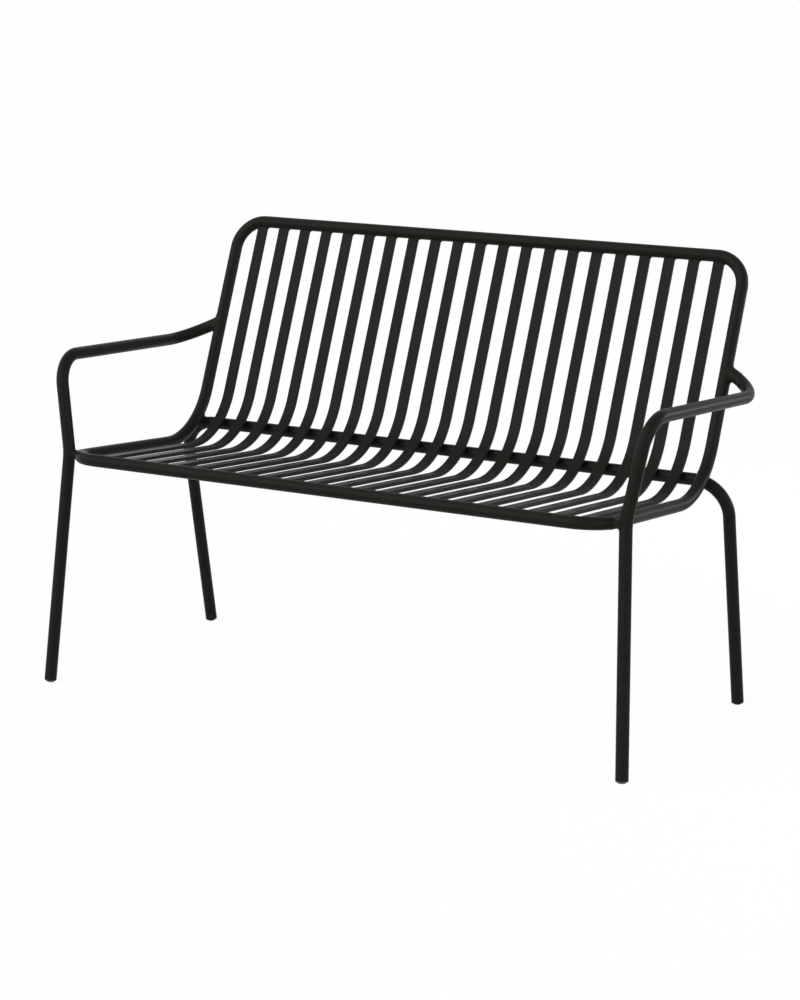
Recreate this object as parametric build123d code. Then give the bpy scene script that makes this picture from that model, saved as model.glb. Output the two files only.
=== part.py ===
from build123d import *
import os
from math import cos, degrees, radians, sin, sqrt

# A garden bench for two: a closed loop of round tube carries flat bars from its front rail
# to its top rail. One bent tube on each side is front leg and armrest in one, and a hoop
# behind the seat makes both back legs. Everything is welded and lacquered.
# Millimetres and degrees. +Z is up, +X runs along the seat, and the sitter looks towards -Y.
# The origin lies on the ground, in the middle of the width and of the depth.

# Stock that the bench is made from
tube_diameter = 22.0
tube_wall = 1.5
slat_width = 20.0
slat_thickness = 6.0
slat_edge_radius = 1.0
slat_count = 21
slat_side_gap = 29.5

# The loop, measured along the axis of its tube, with its width taken outside the side rails
frame_width = 1061.0
front_rail_height = 421.0
seat_run = 411.5
seat_slope = 4.65
back_run = 431.0
back_recline = 22.4
front_corner_radius = 58.0
top_corner_radius = 54.5
seat_bend_radius = 135.0
joint_before_bend = 40.0

# Front leg and armrest: out from the side rail, back from the front rail, up from it
front_foot_out = 50.0
front_foot_back = 0.0
leg_bend_out = 26.0
leg_bend_back = 39.5
leg_bend_radius = 118.0
arm_front_out = 54.0
arm_front_back = 54.0
arm_front_rise = 169.0
arm_front_radius = 54.5
arm_rear_out = 69.5
arm_rear_back = 484.0
arm_rear_rise = 145.0
arm_rear_radius = 76.0
arm_end_run = 230.5

# Back hoop: its crossbar runs behind the bend between seat and back
crossbar_angle = 46.5
rear_leg_out = 38.2
rear_leg_lean = 11.6
hoop_bend_radius = 63.0
crossbar_gap = 2.7

# Welded joints
weld_gap = 0.3
stub_diameter = 15.0
crossbar_weld_diameter = 13.0
arm_weld_width = 3.5
arm_weld_height = 3.0

# Plastic glide in the end of each leg
glide_height = 5.8
glide_rim_height = 1.4
glide_tip_radius = 6.5
glide_dome_radius = 20.0
glide_sole_cut = 0.4
glide_plug_length = 16.0
glide_core_radius = 7.6
glide_rib_height = 2.0
glide_rib_pitch = 4.0
glide_rib_count = 4
glide_bore_clearance = 0.05

# Sizes that follow
tube_radius = tube_diameter / 2
bore_radius = tube_radius - tube_wall
rail_x = frame_width / 2 - tube_radius
seat_dir = Vector(0, cos(radians(seat_slope)), -sin(radians(seat_slope)))
back_dir = Vector(0, sin(radians(back_recline)), cos(radians(back_recline)))
depth_of_axes = (seat_dir * seat_run + back_dir * back_run).Y
front_point = Vector(0, -depth_of_axes / 2, front_rail_height)
seat_point = front_point + seat_dir * seat_run
top_point = seat_point + back_dir * back_run


def right(point, out=0.0):
    """The same point moved sideways onto the right side rail, or out from it."""
    return Vector(rail_x + out, point.Y, point.Z)


def left(point, out=0.0):
    """The same point moved sideways onto the left side rail, or out from it."""
    return Vector(-rail_x - out, point.Y, point.Z)


def from_front(out, back, height):
    """A point given from the right side rail, from the front rail and from the ground."""
    return Vector(rail_x + out, front_point.Y + back, height)


def follow(section, corners, radii, across=None):
    """A section carried along straight runs and round bends: drawn on runs, turned in bends."""
    path = FilletPolyline(*corners, radius=radii)
    pieces = []
    for edge in path.edges():
        start = edge @ 0
        heading = edge % 0
        plane = Plane(start, x_dir=across, z_dir=heading)
        if edge.geom_type == GeomType.CIRCLE:
            centre = edge.arc_center
            hinge = Axis(centre, (start - centre).cross(heading))
            turn = degrees(edge.length / edge.radius)
            pieces.append(revolve(plane * section, axis=hinge, revolution_arc=turn))
        else:
            pieces.append(extrude(plane * section, amount=edge.length))
    return pieces[0].fuse(*pieces[1:])


def tube(corners, radii):
    """A hollow bent tube."""
    return follow(Circle(tube_radius) - Circle(bore_radius), corners, radii)


def filled(corners, radii):
    """The space that a bent tube takes up, for cutting what meets it."""
    return follow(Circle(tube_radius), corners, radii)


def rod(start, end, radius):
    """A plain round bar from one point to another."""
    return extrude(Plane(start, z_dir=end - start) * Circle(radius), amount=(end - start).length)


# The loop: two bent tubes, butted on the side rails just ahead of the seat bend

def joint_point():
    """Where the two tubes of the loop meet, on the straight part of a side rail."""
    half_turn = radians(90 + seat_slope - back_recline) / 2
    bend_start = seat_bend_radius * sin(half_turn) / cos(half_turn)
    return seat_point - seat_dir * (bend_start + joint_before_bend)


def seat_corners():
    joint = joint_point()
    return [left(joint), left(front_point), right(front_point), right(joint)]


def back_corners():
    joint = joint_point()
    up = [left(joint), left(seat_point), left(top_point)]
    return up + [right(top_point), right(seat_point), right(joint)]


seat_radii = [front_corner_radius] * 2
back_radii = [seat_bend_radius, top_corner_radius, top_corner_radius, seat_bend_radius]


# Slats: flat bars in the plane of the loop, their ends cut to the round of the two rails

def slats():
    """All slats in order, in an even row between the gaps beside the two side rails."""
    section = RectangleRounded(slat_width, slat_thickness, slat_edge_radius)
    bar = follow(section, [front_point, seat_point, top_point], [seat_bend_radius], across=(1, 0, 0))
    loop = (filled(seat_corners(), seat_radii), filled(back_corners(), back_radii))
    first = -rail_x + tube_radius + slat_side_gap + slat_width / 2
    pitch = -2 * first / (slat_count - 1)
    return [Pos(first + i * pitch, 0, 0) * bar - loop for i in range(slat_count)]


# Legs and glides

def glide_tip(ground, above):
    """The tip of a leg's glide, whose round underside is cut level at the ground."""
    heading = (above - ground).normalized()
    dome_centre = ground + heading * ((glide_dome_radius - glide_sole_cut) / heading.Z)
    return dome_centre - heading * glide_dome_radius


def tube_end(ground, above):
    """The end of a leg's tube, on its axis, square to the leg."""
    return glide_tip(ground, above) + (above - ground).normalized() * glide_height


def glide(ground, above):
    """A plug with ribs, a rim under the tube and a tapered foot with a small level sole."""
    rib_radius = bore_radius - glide_bore_clearance
    dome_edge = glide_dome_radius - sqrt(glide_dome_radius**2 - glide_tip_radius**2)
    dome_mid = glide_dome_radius - sqrt(glide_dome_radius**2 - (glide_tip_radius / 2) ** 2)
    top = glide_height + glide_plug_length
    outline = ThreePointArc((0, 0), (glide_tip_radius / 2, dome_mid), (glide_tip_radius, dome_edge))
    outline += Polyline(
        (glide_tip_radius, dome_edge),
        (tube_radius, glide_height - glide_rim_height),
        (tube_radius, glide_height),
        (glide_core_radius, glide_height),
        (glide_core_radius, top),
        (0, top),
        (0, 0),
    )
    body = revolve(make_face(Plane.XZ * outline), axis=Axis.Z)
    for i in range(glide_rib_count):
        low = glide_height + glide_rib_pitch * i + (glide_rib_pitch - glide_rib_height)
        body += Pos(0, 0, low) * extrude(Circle(rib_radius), amount=glide_rib_height)
    placed = Plane(glide_tip(ground, above), z_dir=above - ground) * body
    below = Pos(ground.X, ground.Y, 0) * Box(
        tube_diameter * 2, tube_diameter * 2, glide_height, align=(Align.CENTER, Align.CENTER, Align.MAX)
    )
    return placed - below


# Front leg and armrest: the right-hand pieces, which are mirrored for the left

def front_leg_line():
    """Where the front leg's axis meets the ground, and its bend beside the seat."""
    ground = from_front(front_foot_out, front_foot_back, 0)
    bend = from_front(leg_bend_out, leg_bend_back, front_rail_height)
    return ground, bend


def arm_corners():
    ground, bend = front_leg_line()
    front = from_front(arm_front_out, arm_front_back, front_rail_height + arm_front_rise)
    rear = from_front(arm_rear_out, arm_rear_back, front_rail_height + arm_rear_rise)
    return [tube_end(ground, bend), bend, front, rear, arm_end()]


arm_radii = [leg_bend_radius, arm_front_radius, arm_rear_radius]


def arm_end():
    """Where the armrest's axis meets the axis of the back's stile."""
    return right(seat_point + back_dir * arm_end_run)


def front_leg_with_arm():
    """From the foot up past the seat, round into the armrest and in to the back's stile."""
    stile = rod(right(seat_point), right(top_point), tube_radius + weld_gap)
    return tube(arm_corners(), arm_radii) - stile


def arm_weld():
    """A band of weld metal round the armrest's end, where it is cut to the round of the stile."""
    rear, end = arm_corners()[-2:]
    outward = (rear - end).normalized()
    reach = tube_radius + arm_weld_width
    band = rod(end, end + outward * tube_diameter, tube_radius + arm_weld_height)
    band &= rod(end - back_dir * tube_diameter, end + back_dir * tube_diameter, reach)
    inner = rod(end - back_dir * tube_diameter * 2, end + back_dir * tube_diameter * 2, tube_radius)
    return band - inner - filled(arm_corners(), arm_radii)


def leg_stub():
    """A short round bar that joins the leg to the loop's front corner."""
    height = (front_point + seat_dir * leg_bend_back).Z
    inner = from_front(0, leg_bend_back, height)
    outer = from_front(leg_bend_out, leg_bend_back, height)
    bar = rod(inner, outer, stub_diameter / 2)
    return bar - filled(seat_corners(), seat_radii) - filled(arm_corners(), arm_radii)


# Back hoop: crossbar and both back legs, one tube

def bend_centre():
    """Centre of the bend between seat and back, seen from the side."""
    inward = (back_dir - seat_dir).normalized()
    half_angle = radians(90 - seat_slope + back_recline) / 2
    return seat_point + inward * (seat_bend_radius / sin(half_angle))


def behind_bend(distance):
    """A point behind the seat bend, at the crossbar's angle below level."""
    angle = radians(crossbar_angle)
    return bend_centre() + Vector(0, cos(angle), -sin(angle)) * distance


def hoop_retreat(x):
    """How far the hoop's own bend has taken it away from the rail at a sideways place."""
    past = max(0, x - (rail_x + rear_leg_out - hoop_bend_radius))
    drop = hoop_bend_radius - sqrt(hoop_bend_radius**2 - past**2)
    return drop * sin(radians(crossbar_angle + rear_leg_lean))


def crossbar_place():
    """How far the crossbar lies behind the rail's axis, and where the two come nearest.

    The hoop starts to bend before it has passed the rail, so the bend, not the straight bar,
    sets how near it comes: at every sideways place it keeps one tube and the gap away.
    """
    reach = tube_diameter + crossbar_gap
    steps = 50
    places = [rail_x - tube_radius * step / steps for step in range(steps)]
    return max((sqrt(reach**2 - (rail_x - x) ** 2) - hoop_retreat(x), x) for x in places)


def rear_leg_line():
    """Where the back leg's axis meets the ground, and its corner at the crossbar's end."""
    crossbar = behind_bend(seat_bend_radius + crossbar_place()[0])
    corner = right(crossbar, rear_leg_out)
    lean = radians(rear_leg_lean)
    ground = corner + Vector(0, sin(lean), -cos(lean)) * (corner.Z / cos(lean))
    return ground, corner


def hoop_corners():
    ground, corner = rear_leg_line()
    end = tube_end(ground, corner)
    other_side = [Vector(-point.X, point.Y, point.Z) for point in (end, corner)]
    return other_side + [corner, end]


hoop_radii = [hoop_bend_radius] * 2


def crossbar_weld():
    """Weld metal between the crossbar and a side rail, round the place where they nearly touch."""
    setback, x = crossbar_place()
    rail = behind_bend(seat_bend_radius)
    bar = behind_bend(seat_bend_radius + setback + hoop_retreat(x))
    metal = rod(Vector(x, rail.Y, rail.Z), Vector(x, bar.Y, bar.Z), crossbar_weld_diameter / 2)
    return metal - filled(back_corners(), back_radii) - filled(hoop_corners(), hoop_radii)


# Build every piece and write it out

def build():
    parts = {
        "seat_frame_tube": tube(seat_corners(), seat_radii),
        "back_frame_tube": tube(back_corners(), back_radii),
        "rear_leg_hoop": tube(hoop_corners(), hoop_radii),
    }
    for number, bar in enumerate(slats(), 1):
        parts[f"slat_{number:02d}"] = bar
    right_hand = {
        "front_leg_arm": front_leg_with_arm(),
        "arm_weld": arm_weld(),
        "leg_stub": leg_stub(),
        "crossbar_weld": crossbar_weld(),
        "front_glide": glide(*front_leg_line()),
        "rear_glide": glide(*rear_leg_line()),
    }
    for name, shape in right_hand.items():
        parts[f"{name}_right"] = shape
        parts[f"{name}_left"] = mirror(shape, about=Plane.YZ)
    return parts


os.makedirs("parts", exist_ok=True)
for part_name, part_shape in build().items():
    export_step(part_shape, f"parts/{part_name}.step")
    print(part_name, len(part_shape.solids()), round(part_shape.volume, 1))
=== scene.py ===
"""Dresses a packed two-seat garden bench of bent tube and flat bars, and sets up its studio."""
from math import pi, radians

import bpy
import numpy as np
from mathutils import Matrix, Vector


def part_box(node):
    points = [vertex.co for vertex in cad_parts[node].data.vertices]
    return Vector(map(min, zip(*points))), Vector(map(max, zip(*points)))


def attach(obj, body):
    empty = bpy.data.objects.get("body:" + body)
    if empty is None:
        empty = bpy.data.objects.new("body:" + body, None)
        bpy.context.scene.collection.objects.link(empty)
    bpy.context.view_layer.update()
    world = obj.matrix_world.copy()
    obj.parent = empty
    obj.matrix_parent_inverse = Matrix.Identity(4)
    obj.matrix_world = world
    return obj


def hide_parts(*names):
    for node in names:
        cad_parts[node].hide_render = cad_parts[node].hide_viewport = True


bl_info = {
    "name": "Slatted Garden Bench",
    "version": (1, 0, 0),
    "blender": (4, 5, 0),
    "location": "View3D > Sidebar > Bench",
    "description": "Builds the tubes, slats, welds, finishes and studio of a slatted garden bench",
    "category": "Add Mesh",
}

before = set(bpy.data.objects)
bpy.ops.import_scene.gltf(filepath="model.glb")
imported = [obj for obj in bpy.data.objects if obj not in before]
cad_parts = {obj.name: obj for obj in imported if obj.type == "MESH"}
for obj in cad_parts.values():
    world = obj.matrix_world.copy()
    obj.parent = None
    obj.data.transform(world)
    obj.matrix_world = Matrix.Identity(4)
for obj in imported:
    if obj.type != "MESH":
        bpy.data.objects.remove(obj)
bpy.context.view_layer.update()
UP = np.array([0.0, 0.0, 1.0])
MIRROR = np.array([-1.0, 1.0, 1.0])
RAIL_WAY = np.array([1.0, 0.0, 0.0])
DEPTH_WAY = np.array([0.0, 1.0, 0.0])

# Mesh fineness: an arc's step, points on a bar's rounded edge, and rows of the weld skins
ARC_STEP = radians(2.5)
EDGE_POINTS = 5
ARM_WELD_ROWS, BRIDGE_ROWS, SLAT_WELD_ROWS = 18, 10, 9
# Where a flat face's points lie between its rounded edges, close together near both ends
FACE_STOPS = np.array([0.02, 0.06, 0.15, 0.3, 0.5, 0.7, 0.85, 0.94, 0.98])
# Faces that meet at a greater turn than this are shaded as an edge
SHARP_EDGE = radians(50)

# Rounds and probe by which points settle on a surface, and the least slope they divide by
SETTLING_ROUNDS, PROBE, LEAST_SLOPE = 10, 1e-6, 0.1
# How far a weld's border lies from its corner, in widths of its blend
WELD_REACH, BRIDGE_REACH = 1.15, 1.2
# A weld is 1 + waver * sin(place . waves) times its named width: radians per metre in X, Y and Z
ARM_WAVES = np.array([900.0, 1300.0, 700.0])
BRIDGE_WAVES = np.array([1100.0, 900.0, 1300.0])
SLAT_WAVES = np.array([1500.0, 2100.0, 1700.0])
# How far that unevenness moves on from one slat to the next, in radians
SLAT_WAVE_STEP = 2.4
# The armrest's blend is narrowest beside its end, at this share of its width above and below it
ARM_BLEND_LEAST = 0.25
# Keeps the cross product with UP from vanishing where a short bar stands upright
SIDE_SKEW = 0.01
# Side direction in which the armrest tube's first point lies, out from the bench and up
ARM_SIDE = np.array([0.6, 0.0, 0.8])

# Camera: the film's long side in millimetres, and the depth that it sees in metres
FILM_LONG_SIDE = 36
NEAREST, FURTHEST = 0.1, 400

WHITE = (1, 1, 1, 1)


def low(node):
    return np.array(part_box(node)[0])


def high(node):
    return np.array(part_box(node)[1])


# Sizes and looks

def length(name, description, default):
    return bpy.props.FloatProperty(
        name=name, description=description, default=default, min=0.0, precision=5, unit="LENGTH")


def angle(name, description, degrees):
    return bpy.props.FloatProperty(
        name=name, description=description, default=radians(degrees), subtype="ANGLE")


def position(name, description, default):
    return bpy.props.FloatVectorProperty(
        name=name, description=description, default=default, size=3, precision=5, unit="LENGTH")


def fraction(name, description, default):
    return bpy.props.FloatProperty(
        name=name, description=description, default=default, min=0.0, max=1.0, subtype="FACTOR")


def strength(name, description, default):
    return bpy.props.FloatProperty(name=name, description=description, default=default, min=0.0)


def colour(name, description, default):
    return bpy.props.FloatVectorProperty(
        name=name, description=description, default=default, size=3, min=0.0, max=1.0, subtype="COLOR")


class LoopSizes(bpy.types.PropertyGroup):
    """The closed tube that goes round the seat and the back."""
    tube: length("Tube", "Outer diameter of every tube", 0.022)
    seat_slope: angle("Seat slope", "How far the seat falls towards the back", 4.65)
    back_recline: angle("Back recline", "How far the back leans from upright", 22.4)
    front_corner: length("Front corner", "Radius of the front corners, on the tube's axis", 0.058)
    seat_bend: length("Seat bend", "Radius of the bend between seat and back", 0.135)
    top_corner: length("Top corner", "Radius of the top corners", 0.0545)
    columns: bpy.props.IntProperty(
        name="Columns", description="Points round each tube", default=48, min=12, max=96)


class ArmSizes(bpy.types.PropertyGroup):
    """Front leg and armrest: places out from the side rail, back from the front rail, and up."""
    foot: position("Foot", "Where the leg's axis meets the ground", (0.050, 0.0, 0.0))
    beside_seat: position("Beside the seat", "Corner of the leg beside the seat", (0.026, 0.0395, 0.421))
    front: position("Front corner", "Corner between leg and armrest", (0.054, 0.054, 0.590))
    rear: position("Rear corner", "Corner where the armrest turns in", (0.0695, 0.484, 0.566))
    bends: position("Bends", "Radii of the three bends in turn", (0.118, 0.0545, 0.076))
    end_run: length("End run", "From the seat bend's corner up the stile to the armrest", 0.2305)
    tube_lift: length("Tube lift", "From the ground to the front tubes' ends, along the leg", 0.00552)


class HoopSizes(bpy.types.PropertyGroup):
    """The tube that makes the crossbar and both back legs."""
    lean: angle("Lean", "How far the back legs lean backwards", 11.6)
    bend: length("Bend", "Radius of the hoop's two bends", 0.063)
    tube_lift: length("Tube lift", "From the ground to the back tubes' ends, along the leg", 0.00581)


class SlatSizes(bpy.types.PropertyGroup):
    """The flat bars of seat and back."""
    thickness: length("Thickness", "Thickness of a slat with its lacquer", 0.0064)
    edge: length("Edge", "Radius of a slat's long edges", 0.001)
    end_in_tube: length("End in tube", "How far a slat's end reaches into a rail", 0.004)


class WeldSizes(bpy.types.PropertyGroup):
    """Widths over which welded pieces run into each other."""
    arm: length("Armrest", "Width of the blend between armrest and stile", 0.0075)
    neck_bar: length("Neck bar", "Diameter of the bar between front leg and seat", 0.015)
    neck: length("Neck", "Width of the blend at both ends of that bar", 0.0055)
    pad_bar: length("Pad", "Diameter of the weld between crossbar and side rail", 0.009)
    pad: length("Pad blend", "Width of the blend round that weld", 0.005)
    slat_wide: length("Slat, laid side", "Width of a slat's weld on its right edge", 0.0042)
    slat_thin: length("Slat, back side", "Width of a slat's weld elsewhere", 0.0015)
    proud: length("Proud", "How far weld metal stands proud of the tube's flat facets", 0.00003)
    sunk: length("Sunk", "How far the borders of weld metal lie inside the tubes and bars", 0.0005)
    waver: fraction("Waver", "Unevenness of the hand-laid welds", 0.14)


class FinishLook(bpy.types.PropertyGroup):
    """Powder coat on the metal and moulded plastic on the feet."""
    paint: colour("Paint", "Darkest colour of the powder coat", (0.0109, 0.0107, 0.0088))
    paint_light: colour("Paint, light", "Colour of its paler patches", (0.0146, 0.0142, 0.0118))
    gloss: fraction("Paint roughness", "Roughness of the powder coat", 0.36)
    sheen: fraction("Paint reflection", "Specular level of the powder coat", 0.05)
    patches: strength("Patches", "Slow patches of tone and gloss in the coat, per metre", 7.0)
    patch_gloss: fraction("Patch gloss", "How far those patches change the roughness", 0.16)
    peel: length("Orange peel", "Spacing of the powder coat's waves", 0.0022)
    peel_depth: length("Orange peel depth", "Height of those waves", 0.00003)
    peel_show: fraction("Orange peel strength", "How strongly those waves show", 0.5)
    grain: strength("Grain", "Fine grains of the powder coat within one wave", 6.0)
    grain_tone: fraction("Grain in tone", "Share of the grain in the tone, beside the patches", 0.3)
    grain_gloss: fraction("Grain gloss", "How far the grain changes the roughness", 0.10)
    grain_height: fraction("Grain in height", "Share of the grain in the height, beside the waves", 0.2)
    plastic: colour("Plastic", "Darkest colour of the feet", (0.0120, 0.0120, 0.0118))
    plastic_light: colour("Plastic, light", "Palest colour of the feet", (0.0180, 0.0180, 0.0177))
    plastic_rough: fraction("Plastic roughness", "Roughness of the feet", 0.58)
    plastic_sheen: fraction("Plastic reflection", "Specular level of the feet", 0.4)
    flow: strength("Flow marks", "Flow marks in the plastic, per metre", 60.0)
    flow_gloss: fraction("Flow gloss", "How far those marks change the roughness", 0.14)
    pits: strength("Pits", "Fine pits of the plastic's moulded grain, per metre", 2600.0)
    pit_depth: length("Pit depth", "Depth of those pits", 0.00002)
    pit_show: fraction("Pit strength", "How strongly those pits show", 0.4)


class StudioLook(bpy.types.PropertyGroup):
    """Floor, lamps, surroundings and camera."""
    floor: colour("Floor", "Colour of the floor", (0.90, 0.90, 0.90))
    floor_half: length("Floor half", "From the middle of the floor to its sides", 90.0)
    floor_glow: fraction("Floor glow", "How much of the floor's look is plain white", 0.88)
    white: strength("White", "Strength of that white, which brings the whole floor's look to 1", 1.06)
    around: fraction("Surroundings", "Strength of the even light from all round", 0.17)
    left_light: strength("Left light", "Strength of the wide soft light from the front left", 2.6)
    left_side: angle("Left light's side", "Where it comes from, from +X round to +Y", 240)
    left_height: angle("Left light's height", "How high it stands", 22)
    left_width: angle("Left light's width", "How wide it looks from the bench", 80)
    right_light: strength("Right light", "Strength of the low soft light from the right", 1.01)
    right_side: angle("Right light's side", "Where it comes from, from +X round to +Y", -10)
    right_height: angle("Right light's height", "How high it stands", 8)
    right_width: angle("Right light's width", "How wide it looks from the bench", 40)
    back_light: strength("Back light", "Power of the soft box behind the right armrest, in watts", 14.4)
    back_box: length("Back box", "Width of that soft box", 0.8)
    back_place: position("Back box's place", "Middle of that soft box", (1.9, 1.9, 0.9))
    back_aim: position("Back box's aim", "Point that the soft box is turned to", (0.3, 0.0, 0.5))
    camera: position("Camera", "Place of the camera", (2.28534, -4.10193, 1.37931))
    aim: position("Aim", "Point on the camera's axis", (0.00355, -0.02624, 0.26679))
    roll: angle("Roll", "Turn of the camera about its axis", 0.5296)
    lens: bpy.props.FloatProperty(
        name="Lens", description="Focal length for a 36 mm long side, in millimetres", default=97.454)
    shift: bpy.props.FloatVectorProperty(
        name="Shift", description="Shift of the picture, in long sides", default=(0.00278, 0.04855), size=2,
        precision=5)


# Lines and surfaces

def unit(vectors):
    return vectors / np.linalg.norm(vectors, axis=-1, keepdims=True)


def dot(a, b):
    return (a * b).sum(-1)


def turned(vector, hinge, angles):
    """The vector turned about a unit hinge: v cos a + (h x v) sin a + h (h . v)(1 - cos a)."""
    cosine, sine = np.cos(angles)[:, None], np.sin(angles)[:, None]
    return vector * cosine + np.cross(hinge, vector) * sine + hinge * (hinge @ vector) * (1 - cosine)


class Line:
    """Straight runs joined by arcs, with a side direction that never twists.

    An arc of radius r at a corner that turns by w starts r tan(w / 2) before the corner. Its
    centre lies r square to the run, and its points are the start turned about the centre.
    """

    def __init__(self, corners, radii, side):
        corners = np.asarray(corners, float)
        heading = unit(corners[1] - corners[0])
        side = unit(side - heading * (side @ heading))
        points, headings, sides = [corners[:1]], [heading[None]], [side[None]]
        for corner, following, radius in zip(corners[1:-1], corners[2:], radii):
            onward = unit(following - corner)
            turn = np.arccos(np.clip(heading @ onward, -1, 1))
            hinge = unit(np.cross(heading, onward))
            start = corner - heading * (radius * np.tan(turn / 2))
            centre = start + np.cross(hinge, heading) * radius
            angles = np.linspace(0, turn, int(np.ceil(turn / ARC_STEP)) + 1)
            points.append(centre + turned(start - centre, hinge, angles))
            headings.append(turned(heading, hinge, angles))
            sides.append(turned(side, hinge, angles))
            heading, side = headings[-1][-1], sides[-1][-1]
        self.points = np.concatenate(points + [corners[-1:]])
        self.headings = np.concatenate(headings + [heading[None]])
        self.sides = np.concatenate(sides + [side[None]])

    def distance(self, places):
        """Least distance from each place to the line's short straight pieces."""
        start, run = self.points[:-1], np.diff(self.points, axis=0)
        offset = places[:, None] - start
        along = np.clip(dot(offset, run) / dot(run, run), 0, 1)
        return np.linalg.norm(offset - run * along[..., None], axis=-1).min(1)

    def nearest(self, place):
        """The line's own point that is nearest to a place, and its heading there."""
        at = np.linalg.norm(self.points - place, axis=-1).argmin()
        offset = (place - self.points[at]) @ self.headings[at]
        return self.points[at] + self.headings[at] * offset, self.headings[at]

    def swept(self, section):
        """A section carried along: place = point + u * side + v * (heading x side)."""
        across = np.cross(self.headings, self.sides)
        return (self.points[:, None] + self.sides[:, None] * section[None, :, :1]
                + across[:, None] * section[None, :, 1:])


def round_section(radius, columns):
    """A circle: u = r cos t, v = r sin t."""
    angles = np.linspace(0, 2 * np.pi, columns, endpoint=False)
    return np.stack([np.cos(angles), np.sin(angles)], -1) * radius


def bar_section(width, thickness, edge):
    """A flat bar's outline and its outward directions.

    Each corner is an arc of the edge's radius about the point that lies the edge's radius in
    from both faces. The points on the faces between are closer near the arcs, which keeps the
    shading of the faces flat.
    """
    quarter = np.linspace(0, np.pi / 2, EDGE_POINTS)
    inner = np.array([width, thickness]) / 2 - edge
    signs = [(1, 1), (-1, 1), (-1, -1), (1, -1)]
    points, outward = [], []
    for turn, sign in enumerate(signs):
        angles = quarter + turn * np.pi / 2
        normals = np.stack([np.cos(angles), np.sin(angles)], -1)
        arc = inner * sign + normals * edge
        following = inner * signs[(turn + 1) % 4] + normals[-1] * edge
        stops = (FACE_STOPS if turn % 2 == 0 else FACE_STOPS[::4])[:, None]
        points += [arc, arc[-1] * (1 - stops) + following * stops]
        outward += [normals, np.repeat(normals[-1:], len(stops), 0)]
    return np.concatenate(points), np.concatenate(outward)


def blend(first, second, width):
    """The lesser of two distances, rounded over a width w: with h = 1/2 + (second - first) / 2w
    held between 0 and 1, it is their mix by h, less w h (1 - h)."""
    mix = np.clip(0.5 + 0.5 * (second - first) / width, 0, 1)
    return second + (first - second) * mix - width * mix * (1 - mix)


def settled(rows, field, lift):
    """Points slid onto the surface where a distance field equals the lift of their row.

    Each round moves a point by (lift - f) g / g . g, with the slope g taken over a small probe.
    """
    flat = rows.reshape(-1, 3).copy()
    level = np.repeat(lift, rows.shape[1])
    for _ in range(SETTLING_ROUNDS):
        slope = np.stack([field(flat + step) - field(flat - step) for step in np.eye(3) * PROBE], -1)
        slope /= 2 * PROBE
        flat += ((level - field(flat)) / np.maximum(dot(slope, slope), LEAST_SLOPE))[:, None] * slope
    return flat.reshape(rows.shape)


def ring_rows(start, corner, end, count):
    """Rows from one ring to another, bent towards a corner ring between them:
    (1 - t)^2 start + 2 t (1 - t) corner + t^2 end."""
    t = np.linspace(0, 1, count)[:, None, None]
    return (1 - t) ** 2 * start + 2 * t * (1 - t) * corner + t**2 * end


def foot_rings(outline, outward, along, tube_point, tube_heading, radius, reach):
    """Three rings where a bar that leaves a round tube meets it: on the bar, at the corner, on the tube.

    A point c + s b of the bar lies on the tube when its part square to the tube's heading is as
    long as the radius, which gives s from a quadratic. The other rings lie one reach from the
    corner, along the bar and along the tube's surface away from the bar.
    """
    def square(vectors):
        return vectors - tube_heading * (vectors @ tube_heading)[..., None]
    offset, drift = square(outline - tube_point), square(along[None])[0]
    half = offset @ drift
    root = np.sqrt(np.maximum(half**2 - (drift @ drift) * (dot(offset, offset) - radius**2), 0))
    run = (root - half) / (drift @ drift)
    corner = outline + along * run[:, None]
    normal = unit(square(corner - tube_point))
    away = np.cross(np.cross(along, outward), normal)
    return corner + along * reach, corner, corner + away * reach, normal


# Meshes

def linked(name, data):
    """A new object in the scene's own collection."""
    made = bpy.data.objects.new(name, data)
    bpy.context.scene.collection.objects.link(made)
    return made


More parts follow.
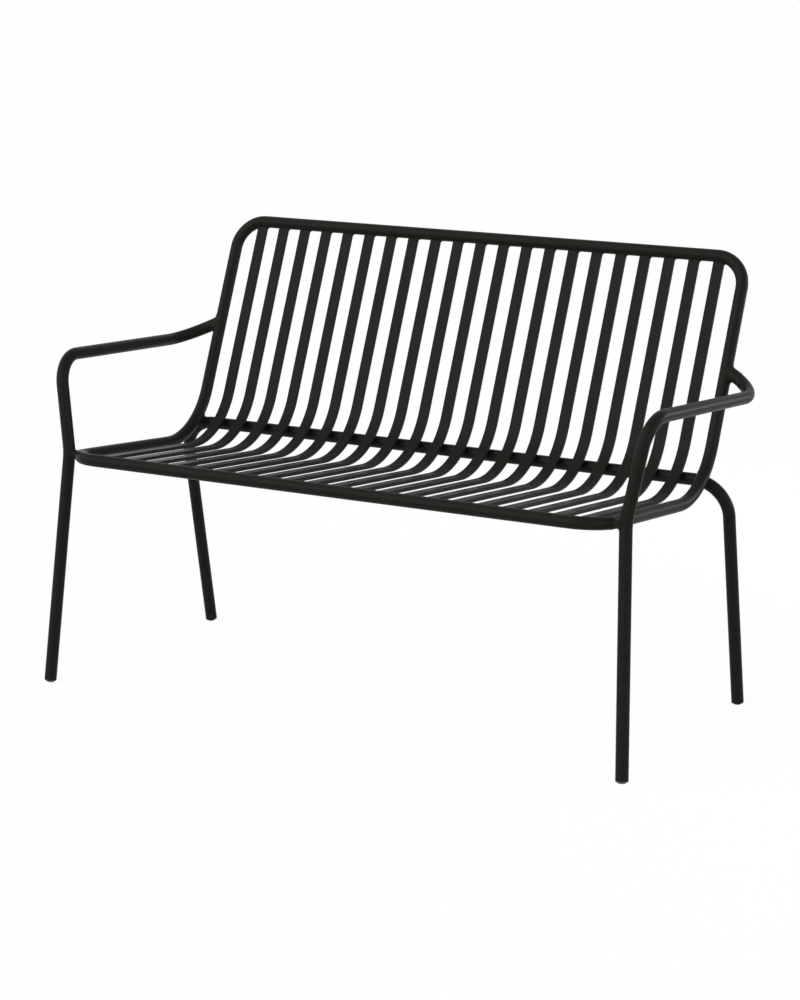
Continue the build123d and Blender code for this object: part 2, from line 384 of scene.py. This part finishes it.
def mesh_piece(name, shells, material, replaced=(), slot="tube_paint"):
    """One piece from closed shells, each a grid of rows of points.

    A shell is (grid, fanned): its columns join up, and its rows either join up too, or end in a
    fan to the middle of the first and last row. A shell that encloses a negative volume, the
    sum of a . (b x c) / 6 over its triangles, is turned round so that its faces point outwards.
    """
    places, faces, runs, offset = [], [], [], 0
    for grid, fanned in shells:
        rows, columns = grid.shape[:2]
        index = np.arange(rows * columns).reshape(rows, columns)
        upper = index[1:] if fanned else np.roll(index, -1, 0)
        lower = index[:len(upper)]
        quads = np.stack([lower, np.roll(lower, -1, 1), np.roll(upper, -1, 1), upper], -1).reshape(-1, 4)
        triangles = np.concatenate([quads[:, [0, 1, 2]], quads[:, [0, 2, 3]]])
        points, loose = grid.reshape(-1, 3), np.empty((0, 3), int)
        if fanned:
            middles = rows * columns + np.arange(2)
            points = np.concatenate([points, grid[[0, -1]].mean(1)])
            first = np.stack([np.roll(index[0], -1), index[0], np.full(columns, middles[0])], -1)
            last = np.stack([index[-1], np.roll(index[-1], -1), np.full(columns, middles[1])], -1)
            loose = np.concatenate([first, last])
            triangles = np.concatenate([triangles, loose])
        a, b, c = points[triangles].transpose(1, 0, 2) - points.mean(0)
        if dot(a, np.cross(b, c)).sum() < 0:
            quads, loose = quads[:, ::-1], loose[:, ::-1]
        faces += [quads.ravel() + offset, loose.ravel() + offset]
        runs += [np.full(len(quads), 4), np.full(len(loose), 3)]
        places.append(points)
        offset += len(points)
    corners, totals = np.concatenate(faces), np.concatenate(runs)
    mesh = bpy.data.meshes.new(name)
    mesh.vertices.add(offset)
    mesh.vertices.foreach_set("co", np.concatenate(places).ravel())
    mesh.loops.add(len(corners))
    mesh.loops.foreach_set("vertex_index", corners)
    mesh.polygons.add(len(totals))
    mesh.polygons.foreach_set("loop_start", np.cumsum(totals) - totals)
    mesh.polygons.foreach_set("loop_total", totals)
    mesh.polygons.foreach_set("use_smooth", np.ones(len(totals), bool))
    mesh.update(calc_edges=True)
    mesh.validate()
    mesh.set_sharp_from_angle(angle=SHARP_EDGE)
    mesh.materials.append(material)
    piece = linked(name, mesh)
    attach(piece, "root")
    if replaced:
        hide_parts(*replaced)


def both_sides(name, shells, material, replaced, **more):
    """The right-hand piece and its mirror image on the left."""
    mesh_piece(f"{name}_right", shells, material, [f"{node}_right" for node in replaced], **more)
    flipped = [(grid * MIRROR, fanned) for grid, fanned in shells]
    mesh_piece(f"{name}_left", flipped, material, [f"{node}_left" for node in replaced], **more)


# Where everything lies

class Bench:
    """The lines of all tubes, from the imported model's boxes and the chosen sizes."""

    def __init__(self, scene):
        loop, arm, hoop = scene.bench_loop, scene.bench_arm, scene.bench_hoop
        self.radius = loop.tube / 2
        self.section = round_section(self.radius, loop.columns)
        # The loop: the corner of seat and back is where their two directions meet
        seat_high, back_high = high("seat_frame_tube"), high("back_frame_tube")
        self.rail_x = seat_high[0] - self.radius
        self.seat_way = np.array([0, np.cos(loop.seat_slope), -np.sin(loop.seat_slope)])
        self.back_way = np.array([0, np.sin(loop.back_recline), np.cos(loop.back_recline)])
        self.front = np.array([0, low("seat_frame_tube")[1] + self.radius, seat_high[2] - self.radius])
        self.top = np.array([0, back_high[1] - self.radius, back_high[2] - self.radius])
        runs = np.linalg.solve(
            np.stack([self.seat_way, self.back_way], -1)[1:], (self.top - self.front)[1:])
        self.bend = self.front + self.seat_way * runs[0]
        # The seat tube's cut end is square to its slope, so its upper rim lies further back than its axis
        tube_back = seat_high[1] - self.radius * np.sin(loop.seat_slope)
        joint = self.front + self.seat_way * ((tube_back - self.front[1]) / self.seat_way[1])
        # The bend's centre lies midway between its two runs, r / cos(w / 2) from the corner
        half_turn = (np.pi / 2 + loop.seat_slope - loop.back_recline) / 2
        self.bend_middle = self.bend + unit(self.back_way - self.seat_way) * (
            loop.seat_bend / np.cos(half_turn))
        seat_corners = [self.across(joint, -1), self.across(self.front, -1),
                        self.across(self.front, 1), self.across(joint, 1)]
        self.seat_line = Line(seat_corners, [loop.front_corner] * 2, RAIL_WAY)
        back_corners = [self.across(joint, -1), self.across(self.bend, -1), self.across(self.top, -1),
                        self.across(self.top, 1), self.across(self.bend, 1), self.across(joint, 1)]
        radii = [loop.seat_bend, loop.top_corner, loop.top_corner, loop.seat_bend]
        self.back_line = Line(back_corners, radii, RAIL_WAY)

        # The right armrest, from places that count from the side rail and the front rail
        origin = np.array([self.rail_x, self.front[1], 0])
        foot, beside, corner, rear = (
            origin + np.array(place) for place in (arm.foot, arm.beside_seat, arm.front, arm.rear))
        self.arm_end = self.across(self.bend + self.back_way * arm.end_run, 1)
        arm_corners = [self.lifted(foot, beside, arm.tube_lift), beside, corner, rear, self.arm_end]
        self.arm_line = Line(arm_corners, list(arm.bends), ARM_SIDE)

        # The hoop: its shoulders lie at its box's upper front edge, and its legs lean back from there
        hoop_low, hoop_high = low("rear_leg_hoop"), high("rear_leg_hoop")
        shoulder = np.array([hoop_high[0] - self.radius, hoop_low[1] + self.radius,
                             hoop_high[2] - self.radius])
        ground = shoulder + np.array([0, np.tan(hoop.lean), -1]) * shoulder[2]
        end = self.lifted(ground, shoulder, hoop.tube_lift)
        hoop_corners = [end * MIRROR, shoulder * MIRROR, shoulder, end]
        self.hoop_line = Line(hoop_corners, [hoop.bend] * 2, DEPTH_WAY)

    def across(self, point, side):
        """The same point on the right side rail for side 1, or on the left one for side -1."""
        return np.array([self.rail_x * side, point[1], point[2]])

    @staticmethod
    def lifted(ground, above, lift):
        return ground + unit(above - ground) * lift


# Finishes

class Wire:
    """A socket that takes part in sums: each operator adds its Math node."""

    def __init__(self, finish, socket):
        self.finish, self.socket = finish, socket

    def maths(self, operation, first, second):
        return self.finish.node("ShaderNodeMath", "Value", {"operation": operation}, {0: first, 1: second})

    def __add__(self, other):
        return self.maths("ADD", self, other)

    __radd__ = __add__

    def __mul__(self, other):
        return self.maths("MULTIPLY", self, other)

    __rmul__ = __mul__

    def __sub__(self, other):
        return self.maths("SUBTRACT", self, other)

    def __rsub__(self, other):
        return self.maths("SUBTRACT", other, self)

    def at_most(self, other):
        return self.maths("MINIMUM", self, other)

    def at_least(self, other):
        return self.maths("MAXIMUM", self, other)


class Finish:
    """A material or world, built node by node."""

    def __init__(self, data):
        data.use_nodes = True
        self.data, self.tree = data, data.node_tree
        self.tree.nodes.clear()

    def node(self, kind, output, settings=None, inputs=None):
        """Adds a node of a type: its settings first, then the values or links of its sockets."""
        made = self.tree.nodes.new(kind)
        for name, value in (settings or {}).items():
            setattr(made, name, value)
        for name, value in (inputs or {}).items():
            if isinstance(value, Wire):
                self.tree.links.new(value.socket, made.inputs[name])
            else:
                made.inputs[name].default_value = value
        return Wire(self, made.outputs[output]) if output is not None else made

    def noise(self, scale, detail, roughness=0.5):
        spot = self.node("ShaderNodeTexCoord", "Object")
        return self.node("ShaderNodeTexNoise", "Fac", {}, {
            "Vector": spot, "Scale": scale, "Detail": detail, "Roughness": roughness})

    def mixed(self, factor, first, second):
        """A colour between two by a Mix node, since Math nodes would turn a colour grey."""
        return self.node("ShaderNodeMix", 2, {"data_type": "RGBA"}, {
            0: factor, 6: (*first, 1), 7: (*second, 1)})

    def surface(self, shader):
        owner = "World" if isinstance(self.data, bpy.types.World) else "Material"
        self.node(f"ShaderNodeOutput{owner}", None, {}, {"Surface": shader})


def powder_coat(name, look):
    """Satin powder coat: slow patches, the waves of orange peel, and a fine grain.

    Tone and height are mixes of two of these by shares. The roughness is the named one, plus each
    noise's distance from its middle times its named change.
    """
    finish = Finish(bpy.data.materials.new(name))
    patches = finish.noise(scale=look.patches, detail=2.0)
    peel = finish.noise(scale=1 / look.peel, detail=2.0, roughness=0.4)
    grain = finish.noise(scale=look.grain / look.peel, detail=1.0)
    tone = (patches * (1 - look.grain_tone) + grain * look.grain_tone).at_most(1.0).at_least(0.0)
    rough = (patches - 0.5) * look.patch_gloss + (grain - 0.5) * look.grain_gloss + look.gloss
    height = peel * (1 - look.grain_height) + grain * look.grain_height
    bump = finish.node("ShaderNodeBump", "Normal", {}, {
        "Strength": look.peel_show, "Distance": look.peel_depth, "Height": height})
    finish.surface(finish.node("ShaderNodeBsdfPrincipled", "BSDF", {}, {
        "Base Color": finish.mixed(tone, look.paint, look.paint_light),
        "Roughness": rough, "Normal": bump, "Specular IOR Level": look.sheen}))
    return finish.data


def moulded_plastic(name, look):
    """Matt moulded plastic: fine pits, and flow marks that change its tone and gloss."""
    finish = Finish(bpy.data.materials.new(name))
    flow = finish.noise(scale=look.flow, detail=2.0)
    pits = finish.noise(scale=look.pits, detail=2.0)
    bump = finish.node("ShaderNodeBump", "Normal", {}, {
        "Strength": look.pit_show, "Distance": look.pit_depth, "Height": pits})
    finish.surface(finish.node("ShaderNodeBsdfPrincipled", "BSDF", {}, {
        "Base Color": finish.mixed((flow + pits) * 0.5, look.plastic, look.plastic_light),
        "Roughness": (flow - 0.5) * look.flow_gloss + look.plastic_rough, "Normal": bump,
        "Specular IOR Level": look.plastic_sheen}))
    return finish.data


def finish_named(name, maker, look):
    return bpy.data.materials.get(name) or maker(name, look)


def coat(scene):
    return finish_named("Satin black powder coat", powder_coat, scene.bench_finish)


# Pieces

class BENCH_OT_loop(bpy.types.Operator):
    """Builds the seat's and the back's halves of the closed tube"""
    bl_idname = "bench.loop"
    bl_label = "Seat and back tubes"

    def execute(self, context):
        bench = Bench(context.scene)
        for name, line in (("seat_frame", bench.seat_line), ("back_frame", bench.back_line)):
            mesh_piece(name, [(line.swept(bench.section), True)], coat(context.scene), [f"{name}_tube"])
        return {"FINISHED"}


class BENCH_OT_armrests(bpy.types.Operator):
    """Builds each front leg with its armrest, whose end runs smoothly into the back's stile"""
    bl_idname = "bench.armrests"
    bl_label = "Front legs with armrests"

    def execute(self, context):
        scene, bench, weld = context.scene, Bench(context.scene), context.scene.bench_weld
        line, radius, stile, way = bench.arm_line, bench.radius, bench.arm_end, bench.back_way
        side, back = line.sides[-1], -line.headings[-1]
        outward = bench.section @ np.stack([side, np.cross(side, back)]) / radius
        on_bar, corner, on_stile, normal = foot_rings(
            stile + outward * radius, outward, back, stile, way, radius, weld.arm * WELD_REACH)
        # The tube's own last ring is square to it, where its weld reaches furthest
        on_bar = stile + outward * radius + back * ((on_bar - stile) @ back).max()
        body = line.swept(bench.section)
        body[-1] = on_bar
        flare = ring_rows(on_bar, corner, on_stile, ARM_WELD_ROWS)[1:]

        def joint(places):
            """Distance to stile and armrest, blended most above and below the armrest's end."""
            above = np.clip(np.abs((places - stile) @ way) / radius, ARM_BLEND_LEAST, 1)
            waver = 1 + weld.waver * np.sin(places @ ARM_WAVES)
            return blend(bench.back_line.distance(places) - radius,
                         line.distance(places) - radius, weld.arm * above * waver)
        flare = settled(np.concatenate([flare, on_stile[None]]), joint,
                        np.append(np.full(len(flare), weld.proud), -weld.sunk))
        inside = (corner - normal * (weld.arm / 2))[None]
        both_sides("armrest_leg", [(np.concatenate([body, flare, inside]), True)], coat(scene),
                   ["front_leg_arm", "arm_weld"])
        return {"FINISHED"}


class BENCH_OT_hoop(bpy.types.Operator):
    """Builds the crossbar with both back legs"""
    bl_idname = "bench.hoop"
    bl_label = "Back leg hoop"

    def execute(self, context):
        bench = Bench(context.scene)
        tube = bench.hoop_line.swept(bench.section)
        mesh_piece("leg_hoop", [(tube, True)], coat(context.scene), ["rear_leg_hoop"])
        return {"FINISHED"}


def bridge(bench, first, second, bar_start, bar_way, bar_radius, width, weld):
    """A closed skin of weld metal round a short bar between two tubes.

    Its rows run from the first tube's surface along the bar to the second's, and settle on the
    surface where the distances to both tubes and the bar blend into each other.
    """
    side = unit(np.cross(bar_way, UP + bar_way[::-1] * SIDE_SKEW))
    outward = bench.section @ np.stack([side, np.cross(bar_way, side)]) / bench.radius
    outline = bar_start + outward * bar_radius
    rings = []
    for line, way in ((first, bar_way), (second, -bar_way)):
        point, heading = line.nearest(bar_start)
        rings.append(foot_rings(outline, outward, way, point, heading, bench.radius, width * BRIDGE_REACH))
    (_, corner_1, on_1, normal_1), (_, corner_2, on_2, normal_2) = rings
    middle = (corner_1 + corner_2) / 2
    rows = np.concatenate([
        on_1[None], ring_rows(on_1, corner_1, middle, BRIDGE_ROWS),
        ring_rows(middle, corner_2, on_2, BRIDGE_ROWS)[1:], on_2[None]])
    lift = np.full(len(rows), weld.proud)
    lift[[0, -1]] = -weld.sunk

    def joint(places):
        """Distance to both tubes and to the endless bar, blended."""
        offset = places - bar_start
        bar = np.linalg.norm(offset - bar_way * (offset @ bar_way)[:, None], axis=-1) - bar_radius
        tubes = blend(first.distance(places) - bench.radius, second.distance(places) - bench.radius, width)
        waver = 1 + weld.waver * np.sin(places @ BRIDGE_WAVES)
        return blend(tubes, bar, width * waver)
    inside = [corner_2 - normal_2 * (width / 2), corner_1 - normal_1 * (width / 2)]
    return np.concatenate([settled(rows, joint, lift), inside])


class BENCH_OT_necks(bpy.types.Operator):
    """Builds the welded necks that hold the legs and the hoop to the seat and back tubes"""
    bl_idname = "bench.necks"
    bl_label = "Welded necks"

    def execute(self, context):
        scene, bench, weld = context.scene, Bench(context.scene), context.scene.bench_weld
        middle = (low("leg_stub_right") + high("leg_stub_right")) / 2
        start = bench.seat_line.nearest(middle)[0]
        start[1:] = middle[1:]
        neck = bridge(bench, bench.seat_line, bench.arm_line, start, RAIL_WAY,
                      weld.neck_bar / 2, weld.neck, weld)
        both_sides("leg_neck", [(neck, False)], coat(scene), ["leg_stub"], slot="joint_paint")

        middle = (low("crossbar_weld_right") + high("crossbar_weld_right")) / 2
        rail = bench.back_line.nearest(middle)[0]
        way = unit((rail - bench.bend_middle) * np.array([0, 1, 1]))
        start = np.array([middle[0], rail[1], rail[2]])
        pad = bridge(bench, bench.back_line, bench.hoop_line, start, way,
                     weld.pad_bar / 2, weld.pad, weld)
        both_sides("crossbar_pad", [(pad, False)], coat(scene), ["crossbar_weld"], slot="joint_paint")
        return {"FINISHED"}


class BENCH_OT_slats(bpy.types.Operator):
    """Builds every slat with the weld metal at its two ends"""
    bl_idname = "bench.slats"
    bl_label = "Slats"

    def execute(self, context):
        scene, bench, sizes = context.scene, Bench(context.scene), context.scene.bench_slats
        reach = bench.radius - sizes.end_in_tube
        for number, node in enumerate(sorted(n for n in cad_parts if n.startswith("slat_"))):
            lowest, highest = low(node), high(node)
            middle, width = (lowest[0] + highest[0]) / 2, highest[0] - lowest[0]
            outline, outward = bar_section(width, sizes.thickness, sizes.edge)
            across = np.array([middle, 0, 0])
            ends = [bench.front + bench.seat_way * reach, bench.bend, bench.top - bench.back_way * reach]
            line = Line([end + across for end in ends], [scene.bench_loop.seat_bend], RAIL_WAY)
            shells = [(line.swept(outline), True)]
            for at, rail_line in ((0, bench.seat_line), (-1, bench.back_line)):
                shells.append((self.weld(bench, scene.bench_weld, line, at, rail_line, outline, outward,
                                         (width, sizes.thickness, sizes.edge), number), False))
            mesh_piece(node.replace("slat", "slat_bar"), shells, coat(scene), [node], slot="slat_paint")
        return {"FINISHED"}

    @staticmethod
    def weld(bench, weld, line, at, rail_line, outline, outward, bar, number):
        """A closed ring of weld metal where a slat's end meets a rail, wider on the slat's right.

        The bar counts as an endless one with rounded edges. With r the share of the way from its
        left edge to its right one, the weld is thin + (wide - thin) r r (3 - 2 r) wide.
        """
        side = line.sides[at]
        face = np.cross(line.headings[at], side)
        along = line.headings[at] * (1 if at == 0 else -1)
        base = line.points[at]
        ring = base + outline @ np.stack([side, face])
        ways = outward @ np.stack([side, face])
        tube_point = rail_line.nearest(base)[0]
        on_bar, corner, on_tube, normal = foot_rings(
            ring, ways, along, tube_point, RAIL_WAY, bench.radius, weld.slat_wide * WELD_REACH)
        skin = ring_rows(on_bar, corner, on_tube, SLAT_WELD_ROWS)
        rows = np.concatenate([on_bar[None], skin, on_tube[None]])
        lift = np.full(len(rows), weld.proud)
        lift[[0, -1]] = -weld.sunk
        half = np.array(bar[:2]) / 2 - bar[2]

        def joint(places):
            """Distance to the rail and to the endless bar, blended over that width."""
            offset = np.stack([(places - base) @ side, (places - base) @ face], -1)
            past = np.abs(offset) - half
            flat = np.linalg.norm(np.maximum(past, 0), axis=-1) + np.minimum(past.max(-1), 0) - bar[2]
            right = np.clip(0.5 + offset[:, 0] / bar[0], 0, 1)
            right = right * right * (3 - 2 * right)
            waver = 1 + weld.waver * np.sin(places @ SLAT_WAVES + number * SLAT_WAVE_STEP)
            width = (weld.slat_thin + (weld.slat_wide - weld.slat_thin) * right) * waver
            return blend(rail_line.distance(places) - bench.radius, flat, width)
        inside = corner - (ways + normal) * weld.sunk * 2
        return np.concatenate([settled(rows, joint, lift), inside[None]])


class BENCH_OT_feet(bpy.types.Operator):
    """Gives the four packed feet their moulded plastic"""
    bl_idname = "bench.feet"
    bl_label = "Feet"

    def execute(self, context):
        plastic = finish_named("Moulded black plastic", moulded_plastic, context.scene.bench_finish)
        for name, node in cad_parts.items():
            if "glide" in name:
                node.data.materials.clear()
                node.data.materials.append(plastic)
        return {"FINISHED"}


class BENCH_OT_studio(bpy.types.Operator):
    """Lays the pale floor and sets the lights, the surroundings and the camera"""
    bl_idname = "bench.studio"
    bl_label = "Studio"

    def execute(self, context):
        look = context.scene.bench_studio
        self.floor(look)
        self.surroundings(context.scene, look)
        self.far_light("Left light", look.left_light, look.left_side, look.left_height, look.left_width)
        self.far_light("Right light", look.right_light, look.right_side, look.right_height,
                       look.right_width)
        self.soft_box("Back light", look)
        self.camera(context.scene, look)
        context.scene.view_settings.view_transform = "Standard"
        return {"FINISHED"}

    @staticmethod
    def seen(finish):
        """Three masks, 1 for rays from the camera, from reflections and from glass."""
        def ray(kind):
            return finish.node("ShaderNodeLightPath", kind)
        return ray("Is Camera Ray"), ray("Is Glossy Ray"), ray("Is Transmission Ray")

    def floor(self, look):
        finish = Finish(bpy.data.materials.new("Pale floor"))
        camera, glossy, glass = self.seen(finish)
        plain = finish.node("ShaderNodeBsdfDiffuse", "BSDF", {}, {"Color": (*look.floor, 1)})
        white = finish.node("ShaderNodeEmission", "Emission", {}, {"Color": WHITE, "Strength": look.white})
        share = (camera + glass + glossy).at_most(1.0) * look.floor_glow
        finish.surface(finish.node("ShaderNodeMixShader", "Shader", {}, {0: share, 1: plain, 2: white}))
        mesh = bpy.data.meshes.new("Floor")
        half = look.floor_half
        corners = [(-half, -half, 0), (half, -half, 0), (half, half, 0), (-half, half, 0)]
        mesh.from_pydata(corners, [], [(0, 1, 2, 3)])
        mesh.materials.append(finish.data)
        floor = linked("Floor", mesh)

    def surroundings(self, scene, look):
        scene.world = bpy.data.worlds.new("Surroundings")
        finish = Finish(scene.world)
        camera, glossy, glass = self.seen(finish)
        share = (camera + glass + glossy).at_most(1.0)
        finish.surface(finish.node("ShaderNodeBackground", "Background", {}, {
            "Color": WHITE, "Strength": share * (1 - look.around) + look.around}))

    @staticmethod
    def far_light(name, energy, side, height, width):
        """A far round soft box: its strength, the side that it stands to, its height and its width."""
        data = bpy.data.lights.new(name, "SUN")
        data.energy, data.angle = energy, width
        linked(name, data).rotation_euler = (pi / 2 - height, 0, side + pi / 2)

    @staticmethod
    def facing(place, aim):
        """Stands at a place with the back turned away from a point, as lamps and cameras look along -Z."""
        place, aim = Vector(place), Vector(aim)
        turn = (place - aim).to_track_quat("Z", "Y")
        return Matrix.Translation(place) @ turn.to_matrix().to_4x4()

    def soft_box(self, name, look):
        """A near square soft box that the camera doesn't see."""
        data = bpy.data.lights.new(name, "AREA")
        data.energy, data.size = look.back_light, look.back_box
        lamp = linked(name, data)
        lamp.matrix_world = self.facing(look.back_place, look.back_aim)
        lamp.visible_camera = False

    def camera(self, scene, look):
        data = bpy.data.cameras.new("Camera")
        data.lens, data.sensor_width = look.lens, FILM_LONG_SIDE
        data.shift_x, data.shift_y = look.shift
        data.clip_start, data.clip_end = NEAREST, FURTHEST
        scene.camera = linked("Camera", data)
        scene.camera.matrix_world = self.facing(look.camera, look.aim) @ Matrix.Rotation(look.roll, 4, "Z")


# Panel and registration

GROUPS = {
    "bench_loop": LoopSizes, "bench_arm": ArmSizes, "bench_hoop": HoopSizes, "bench_slats": SlatSizes,
    "bench_weld": WeldSizes, "bench_finish": FinishLook, "bench_studio": StudioLook,
}
OPERATORS = [
    BENCH_OT_loop, BENCH_OT_armrests, BENCH_OT_hoop, BENCH_OT_necks, BENCH_OT_slats, BENCH_OT_feet,
    BENCH_OT_studio,
]


class BENCH_PT_panel(bpy.types.Panel):
    """Sizes, looks and buttons of the bench"""
    bl_label = "Slatted Garden Bench"
    bl_idname = "BENCH_PT_panel"
    bl_space_type = "VIEW_3D"
    bl_region_type = "UI"
    bl_category = "Bench"

    def draw(self, context):
        for operator in OPERATORS:
            self.layout.operator(operator.bl_idname)
        for name, group in GROUPS.items():
            box = self.layout.box()
            box.label(text=name.removeprefix("bench_").capitalize())
            for value in group.__annotations__:
                box.prop(getattr(context.scene, name), value)


CLASSES = [*GROUPS.values(), *OPERATORS, BENCH_PT_panel]


def register():
    for cls in CLASSES:
        bpy.utils.register_class(cls)
    for name, group in GROUPS.items():
        setattr(bpy.types.Scene, name, bpy.props.PointerProperty(type=group))


def unregister():
    for name in GROUPS:
        delattr(bpy.types.Scene, name)
    for cls in reversed(CLASSES):
        bpy.utils.unregister_class(cls)


def main():
    register()
    bpy.ops.bench.loop()
    bpy.ops.bench.armrests()
    bpy.ops.bench.hoop()
    bpy.ops.bench.necks()
    bpy.ops.bench.slats()
    bpy.ops.bench.feet()
    bpy.ops.bench.studio()


if __name__ == "__main__":
    main()
